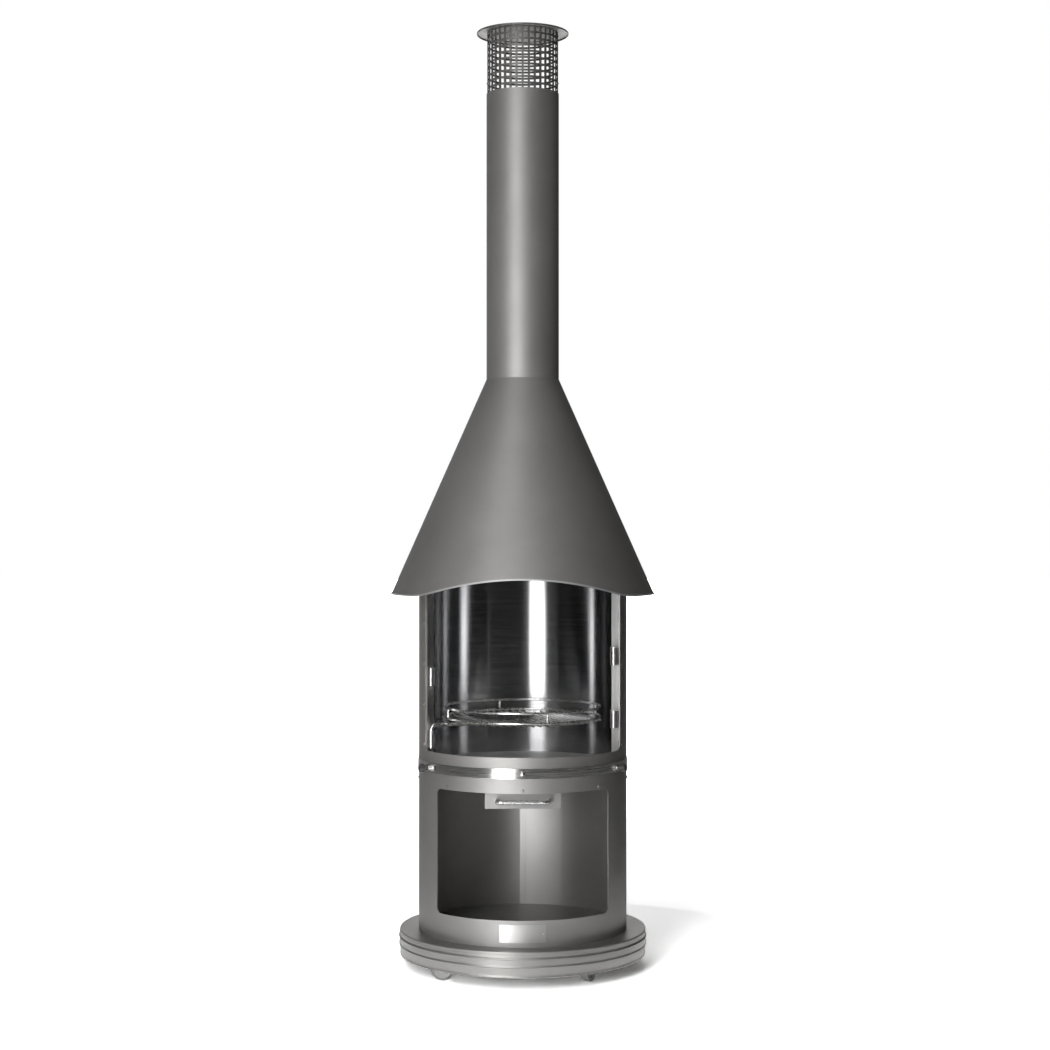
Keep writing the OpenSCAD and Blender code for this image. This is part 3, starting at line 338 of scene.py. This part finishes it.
def round_steel(name, tones, roughness, flanged=False):
    """Stainless steel brushed round the body's axis, which spreads its reflections up and down."""
    n = Nodes(name)
    clouds = n.noise(*STEEL_CLOUDS)
    colour, rough = brush(n, clouds, tones, roughness, ROUND_GRAIN, ROUND_LINE_BUMP)
    if flanged:
        outside = n.ramp(n.radius(), FLANGE_FROM, FLANGE_TO)
        rough = n.math("ADD", rough, n.math("MULTIPLY", outside, FLANGE_DULLER))
        # Painted light: the flanges get a lighter colour in place of the light that they catch.
        colour = n.mix(outside, colour, n.mix(clouds, *FLANGE_LIT_TONES))
    spread = n.add("ShaderNodeVectorMath", operation="ADD")
    n.link(n.scaled(SPREAD_LEAN), spread.inputs[0])
    spread.inputs[1].default_value = SPREAD_UP
    n.link(spread.outputs["Vector"], n.shader.inputs["Tangent"])
    return n.finish(colour, rough, metallic=1.0, anisotropic=1.0)


def bright_wire(name, tones, roughness):
    """Drawn bright rod with faint drawing marks and a few dull patches."""
    n = Nodes(name)
    colour = n.mix(n.ramp(n.noise(*WIRE_PATCHES), *TONE_RANGE), *tones)
    rough = n.gloss(n.noise(*WIRE_MARKS), roughness, WIRE_SPREAD)
    return n.finish(colour, rough, metallic=1.0)


def sooty_iron(name, tones):
    """Cast iron with a coarse grain and soot."""
    n = Nodes(name)
    grain = n.noise(*IRON_GRAIN)
    colour = n.mix(n.ramp(n.noise(*IRON_SOOT), *TONE_RANGE), *tones)
    n.bump(grain, *IRON_BUMP)
    rough = n.ramp(grain, *GLOSS_RANGE, *IRON_ROUGHNESS)
    return n.finish(colour, rough, metallic=IRON_METALLIC)


def moulded(name, tones, roughness):
    """Moulded rubber or plastic with a fine grain and dust."""
    n = Nodes(name)
    dust = n.noise(*DUST)
    colour = n.mix(n.ramp(dust, *DUST_RANGE), *tones)
    n.bump(n.noise(*SURFACE_GRAIN), *MOULDED_BUMP)
    return n.finish(colour, n.gloss(dust, roughness, MOULDED_SPREAD), metallic=0.0)


def make_finishes():
    """The finish of each material slot, and of the nodes that differ from their slot."""
    plinth = heatproof_paint("plinth_paint", PLINTH_TONES, roughness=0.42)
    inner = heatproof_paint("inner_paint", INNER_TONES, metallic=0.3, roughness=0.5)
    guard = heatproof_paint("guard_paint", GUARD_TONES, metallic=0.4, roughness=0.45)
    by_slot = {
        "shell_paint": heatproof_paint("shell_paint", SHELL_TONES),
        "plinth_paint": plinth,
        "inner_steel": inner,
        # The liner's colour is its steel darkened as painted shade.
        "stainless": round_steel("liner_steel", LINER_SHADED_TONES, roughness=0.20, flanged=True),
        "rod_steel": bright_wire("rod_steel", ROD_TONES, roughness=0.26),
        "fastener": bright_wire("fastener_steel", FASTENER_TONES, roughness=0.25),
        "plate": flat_steel("plate_steel", PLATE_TONES, roughness=0.40, grain=PLATE_GRAIN),
        "cast_iron": sooty_iron("cast_iron", IRON_TONES),
        "zinc": bright_wire("zinc_plate", ZINC_TONES, roughness=0.32),
        "hub": moulded("hub_plastic", HUB_TONES, roughness=0.35),
        "tyre": moulded("tyre_rubber", TYRE_TONES, roughness=0.6),
        "knob": moulded("knob_plastic", KNOB_TONES, roughness=0.30),
    }
    by_node = {
        "lower_shell": heatproof_paint("store_paint", SHELL_TONES, lapped=True),
        "hood": heatproof_paint("hood_paint", SHELL_TONES, hem_highlighted=True),
        "hood_brackets": inner,
        "divider_screws": plinth,
        "spark_guard": guard,
        "rain_cap": guard,
        "clamp_band": round_steel("band_steel", BAND_TONES, roughness=0.28),
        "fire_bowl": flat_steel("bowl_steel", BOWL_TONES, roughness=0.60, grain=EVEN_GRAIN),
        # The drawer front is the plate steel in a darker, painted-shade copy.
        "drawer_front": flat_steel("front_steel", FRONT_SHADED_TONES, roughness=0.44, grain=PLATE_GRAIN),
    }
    return by_slot, by_node


def dress_nodes():
    """Give every node its finish."""
    by_slot, by_node = make_finishes()
    slots = {row["node"]: row["material_slot"] for row in frame["record"]["subparts"]}
    for name, node in nodes.items():
        material = by_node.get(name, by_slot[slots[name]])
        for slot in node.material_slots:
            slot.material = material
        if not node.material_slots:
            node.data.materials.append(material)


def empty_tree(owner):
    """The node tree of a material or a world, with the default nodes taken out."""
    owner.use_nodes = True
    owner.node_tree.nodes.clear()
    return owner.node_tree


def grey_shader(tree, kind, level):
    """A shader node of one grey."""
    node = tree.nodes.new(kind)
    node.inputs["Color"].default_value = (level, level, level, 1)
    return node


def is_ray(tree, names):
    """1 for a ray of any of the named Light Path kinds, and 0 for other rays."""
    path = tree.nodes.new("ShaderNodeLightPath")
    value = path.outputs[names[0]]
    for name in names[1:]:
        larger = tree.nodes.new("ShaderNodeMath")
        larger.operation = "MAXIMUM"
        tree.links.new(value, larger.inputs[0])
        tree.links.new(path.outputs[name], larger.inputs[1])
        value = larger.outputs["Value"]
    return value


def mix_surface(tree, factor, first, second, output):
    """The output shows the first shader where the factor is 0, and the second where it is 1."""
    mix = tree.nodes.new("ShaderNodeMixShader")
    out = tree.nodes.new(output)
    tree.links.new(factor, mix.inputs["Fac"])
    tree.links.new(first.outputs[0], mix.inputs[1])
    tree.links.new(second.outputs[0], mix.inputs[2])
    tree.links.new(mix.outputs["Shader"], out.inputs["Surface"])


def add_object(name, mesh, material):
    """A new object in the scene with one material."""
    added = bpy.data.objects.new(name, mesh)
    bpy.context.scene.collection.objects.link(added)
    mesh.materials.append(material)
    return added


def make_floor():
    """A pale floor that the camera and the metal see as white wherever no shadow falls on it."""
    material = bpy.data.materials.new("floor")
    tree = empty_tree(material)
    pale = grey_shader(tree, "ShaderNodeBsdfDiffuse", FLOOR_PALE)
    seen = grey_shader(tree, "ShaderNodeBsdfDiffuse", FLOOR_SEEN)
    mix_surface(tree, is_ray(tree, WHITE_RAYS), pale, seen, "ShaderNodeOutputMaterial")
    mesh = bpy.data.meshes.new("floor")
    corners = [(x * FLOOR_HALF, y * FLOOR_HALF, 0) for x, y in ((-1, -1), (1, -1), (1, 1), (-1, 1))]
    mesh.from_pydata(corners, [], [(0, 1, 2, 3)])
    floor = add_object("floor", mesh, material)


def make_world():
    """White to the camera, and to metal that faces the same way."""
    world = bpy.data.worlds.new("background")
    bpy.context.scene.world = world
    tree = empty_tree(world)
    room = grey_shader(tree, "ShaderNodeBackground", BEHIND_LEVEL)
    seen = grey_shader(tree, "ShaderNodeBackground", BEHIND_SEEN)
    mix_surface(tree, is_ray(tree, WHITE_RAYS), room, seen, "ShaderNodeOutputWorld")


def tent_level(degrees, upper):
    """The tent's brightness at an azimuth, even between the stops and between the two cloths."""
    for (a, *low), (b, *high) in zip(TENT_WALLS, TENT_WALLS[1:]):
        if a <= degrees <= b:
            share = (degrees - a) / (b - a)
            lower_cloth, upper_cloth = (p + (q - p) * share for p, q in zip(low, high))
            return lower_cloth + (upper_cloth - lower_cloth) * upper
    raise ValueError(degrees)


def tent_mesh():
    """The tent's wall and roof as strips between rings, with the brightness as the colour glow."""
    first, last = TENT_WALLS[0][0], TENT_WALLS[-1][0]
    count = round((last - first) / TENT_STEP)
    angles = [first + (last - first) * k / count for k in range(count + 1)]
    mesh = bmesh.new()
    glow = mesh.loops.layers.float_color.new("glow")

    def ring(z, r):
        return [mesh.verts.new((r * math.sin(math.radians(a)), -r * math.cos(math.radians(a)), z))
                for a in angles]

    def strip(low, high, low_levels, high_levels):
        for k in range(count):
            face = mesh.faces.new((low[k], high[k], high[k + 1], low[k + 1]))
            levels = (low_levels[k], high_levels[k], high_levels[k + 1], low_levels[k + 1])
            for loop, level in zip(face.loops, levels):
                loop[glow] = (level, level, level, 1)

    rings = [ring(z, r) for z, r, upper in TENT_RINGS]
    shades = [[tent_level(a, upper) for a in angles] for z, r, upper in TENT_RINGS]
    for k in range(len(rings) - 1):
        strip(rings[k], rings[k + 1], shades[k], shades[k + 1])
    roof = [ROOF_LEVEL] * (count + 1)
    strip(rings[-1], ring(TENT_TOP, 0.0), roof, roof)
    data = bpy.data.meshes.new("light_tent")
    mesh.to_mesh(data)
    mesh.free()
    return data


def tent_material():
    """Cloth that glows on its inside and lets light through from its outside."""
    material = bpy.data.materials.new("light_tent")
    tree = empty_tree(material)
    colour = tree.nodes.new("ShaderNodeVertexColor")
    colour.layer_name = "glow"
    emission = tree.nodes.new("ShaderNodeEmission")
    tree.links.new(colour.outputs["Color"], emission.inputs["Color"])
    clear = tree.nodes.new("ShaderNodeBsdfTransparent")
    outside = tree.nodes.new("ShaderNodeNewGeometry").outputs["Backfacing"]
    mix_surface(tree, outside, emission, clear, "ShaderNodeOutputMaterial")
    return material


def make_tent():
    """The light tent round the object: a wall of brighter and darker cloths, and a soft roof."""
    tent = add_object("light_tent", tent_mesh(), tent_material())
    tent.visible_camera = False
    tent.visible_transmission = False


make_camera()
dress_nodes()
make_floor()
make_world()
make_tent()

scene = bpy.context.scene
scene.view_settings.view_transform = "Standard"
